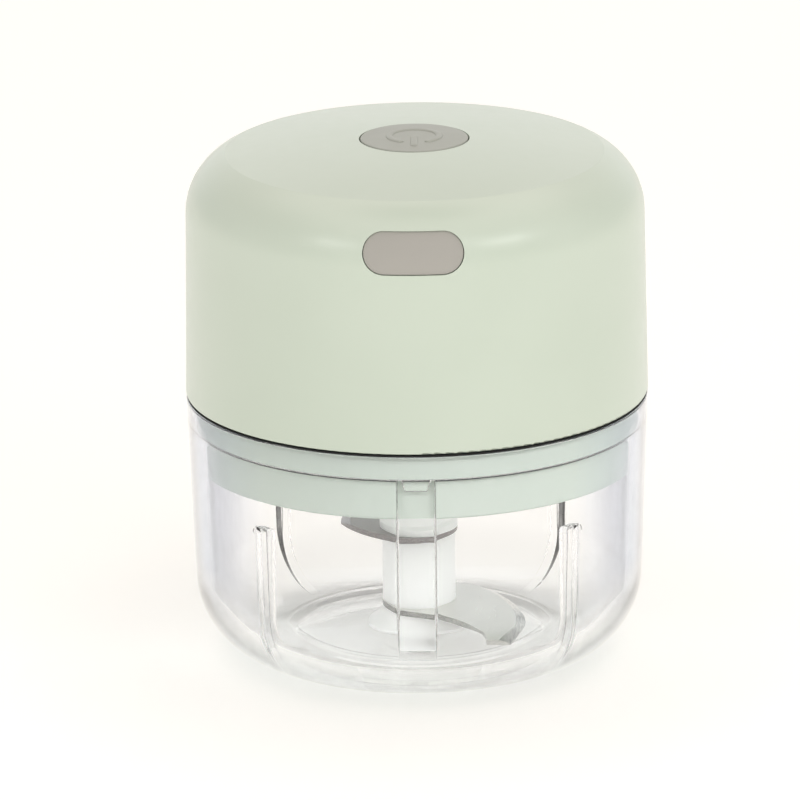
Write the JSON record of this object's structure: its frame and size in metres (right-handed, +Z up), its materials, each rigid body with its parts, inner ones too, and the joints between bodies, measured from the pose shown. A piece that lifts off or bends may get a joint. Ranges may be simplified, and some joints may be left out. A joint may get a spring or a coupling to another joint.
{
  "type": "mini food processor",
  "caption": "Cordless mini food processor with a clear bowl, a two-blade knife on a spindle and a domed motor unit with a top button and a covered charging port.",
  "frame": {"origin": "centre of the bowl's underside, on the surface it stands on", "axes": "+Z up through the bowl and the motor unit, -Y towards the front where the charging port is, +X to the right seen from the front"},
  "size_m": [0.082, 0.082, 0.0944],
  "materials": {
    "clear_bowl": "clear polished moulding",
    "mint_shell": "soft gloss moulding",
    "mint_cover": "soft gloss moulding",
    "hub_white": "translucent white moulding",
    "steel_blade": "polished, ground edge",
    "steel_pin": "ground",
    "steel_dark": "plated",
    "steel_screw": "zinc plated",
    "grey_silicone": "satin silicone",
    "grey_button": "satin",
    "gasket_dark": "matt rubber",
    "black_plastic": "fine texture",
    "natural_plastic": "fine texture",
    "sintered_iron": "sintered",
    "bearing_bronze": "sintered bronze",
    "copper": "enamelled copper",
    "carbon": "pressed carbon",
    "cell_wrap": "shrink wrap",
    "board_green": "solder mask",
    "wire_red": "insulation",
    "wire_black": "insulation"
  },
  "bodies": {
    "bowl": {"bowl": "clear_bowl", "spindle_pin": "steel_pin"},
    "blade_unit": {"hub_foot": "hub_white", "hub_spacer": "hub_white", "hub_cap": "hub_white", "hub_bush": "bearing_bronze", "blade_lower": "steel_blade", "blade_upper": "steel_blade"},
    "rotor": {"motor_shaft": "steel_pin", "armature_core": "steel_dark", "armature_winding": "copper", "commutator": "copper", "drive_head": "natural_plastic"},
    "power_button": {"power_button": "grey_button", "switch_plunger": "natural_plastic"},
    "port_cover": {"port_cover": "grey_silicone"},
    "lock_pin": {"lock_pin": "natural_plastic"},
    "motor_unit": {"base_cover": "mint_cover", "rim_gasket": "gasket_dark", "motor_housing": "mint_shell", "port_tray": "black_plastic", "motor_can": "steel_dark", "magnet_front": "sintered_iron", "magnet_rear": "sintered_iron", "front_bearing": "bearing_bronze", "rear_bearing": "bearing_bronze", "motor_end_cap": "black_plastic", "brush_left": "carbon", "brush_right": "carbon", "motor_plate": "natural_plastic", "motor_damper": "gasket_dark", "shaft_seal": "gasket_dark", "battery_cell": "cell_wrap", "battery_cradle": "natural_plastic", "main_board": "board_green", "usb_socket": "steel_screw", "button_switch": "black_plastic", "board_components": "black_plastic", "cover_screw_1": "steel_screw", "cover_screw_2": "steel_screw", "cover_screw_3": "steel_screw", "cover_screw_4": "steel_screw", "board_screw_left": "steel_screw", "board_screw_right": "steel_screw", "motor_screw_left": "steel_screw", "motor_screw_right": "steel_screw", "lock_switch": "black_plastic", "battery_wire": "wire_red", "motor_wire": "wire_black"}
  },
  "joints": [
    {"name": "motor_unit_lift", "type": "slide", "parent": "bowl", "child": "motor_unit", "axis": [0, 0, 1], "range_m": [0, 0.08]},
    {"name": "drive_spin", "type": "hinge", "parent": "motor_unit", "child": "rotor", "pos_m": [0, 0, 0.04], "axis": [0, 0, 1], "continuous": true},
    {"name": "blade_spin", "type": "hinge", "parent": "bowl", "child": "blade_unit", "pos_m": [0, 0, 0.015], "axis": [0, 0, 1], "continuous": true},
    {"name": "power_button_press", "type": "slide", "parent": "motor_unit", "child": "power_button", "axis": [0, 0, -1], "range_m": [0, 0.0008], "stiffness_N_per_m": 1500, "springref_m": -0.001},
    {"name": "port_cover_pull", "type": "slide", "parent": "motor_unit", "child": "port_cover", "axis": [0, -1, 0], "range_m": [0, 0.009]},
    {"name": "lock_pin_drop", "type": "slide", "parent": "motor_unit", "child": "lock_pin", "axis": [0, 0, -1], "range_m": [0, 0.0016]}
  ],
  "couplings": [
    {"joint": "blade_spin", "follows": "drive_spin", "ratio": 1},
    {"joint": "lock_pin_drop", "follows": "motor_unit_lift", "ratio": 0.01875}
  ]
}
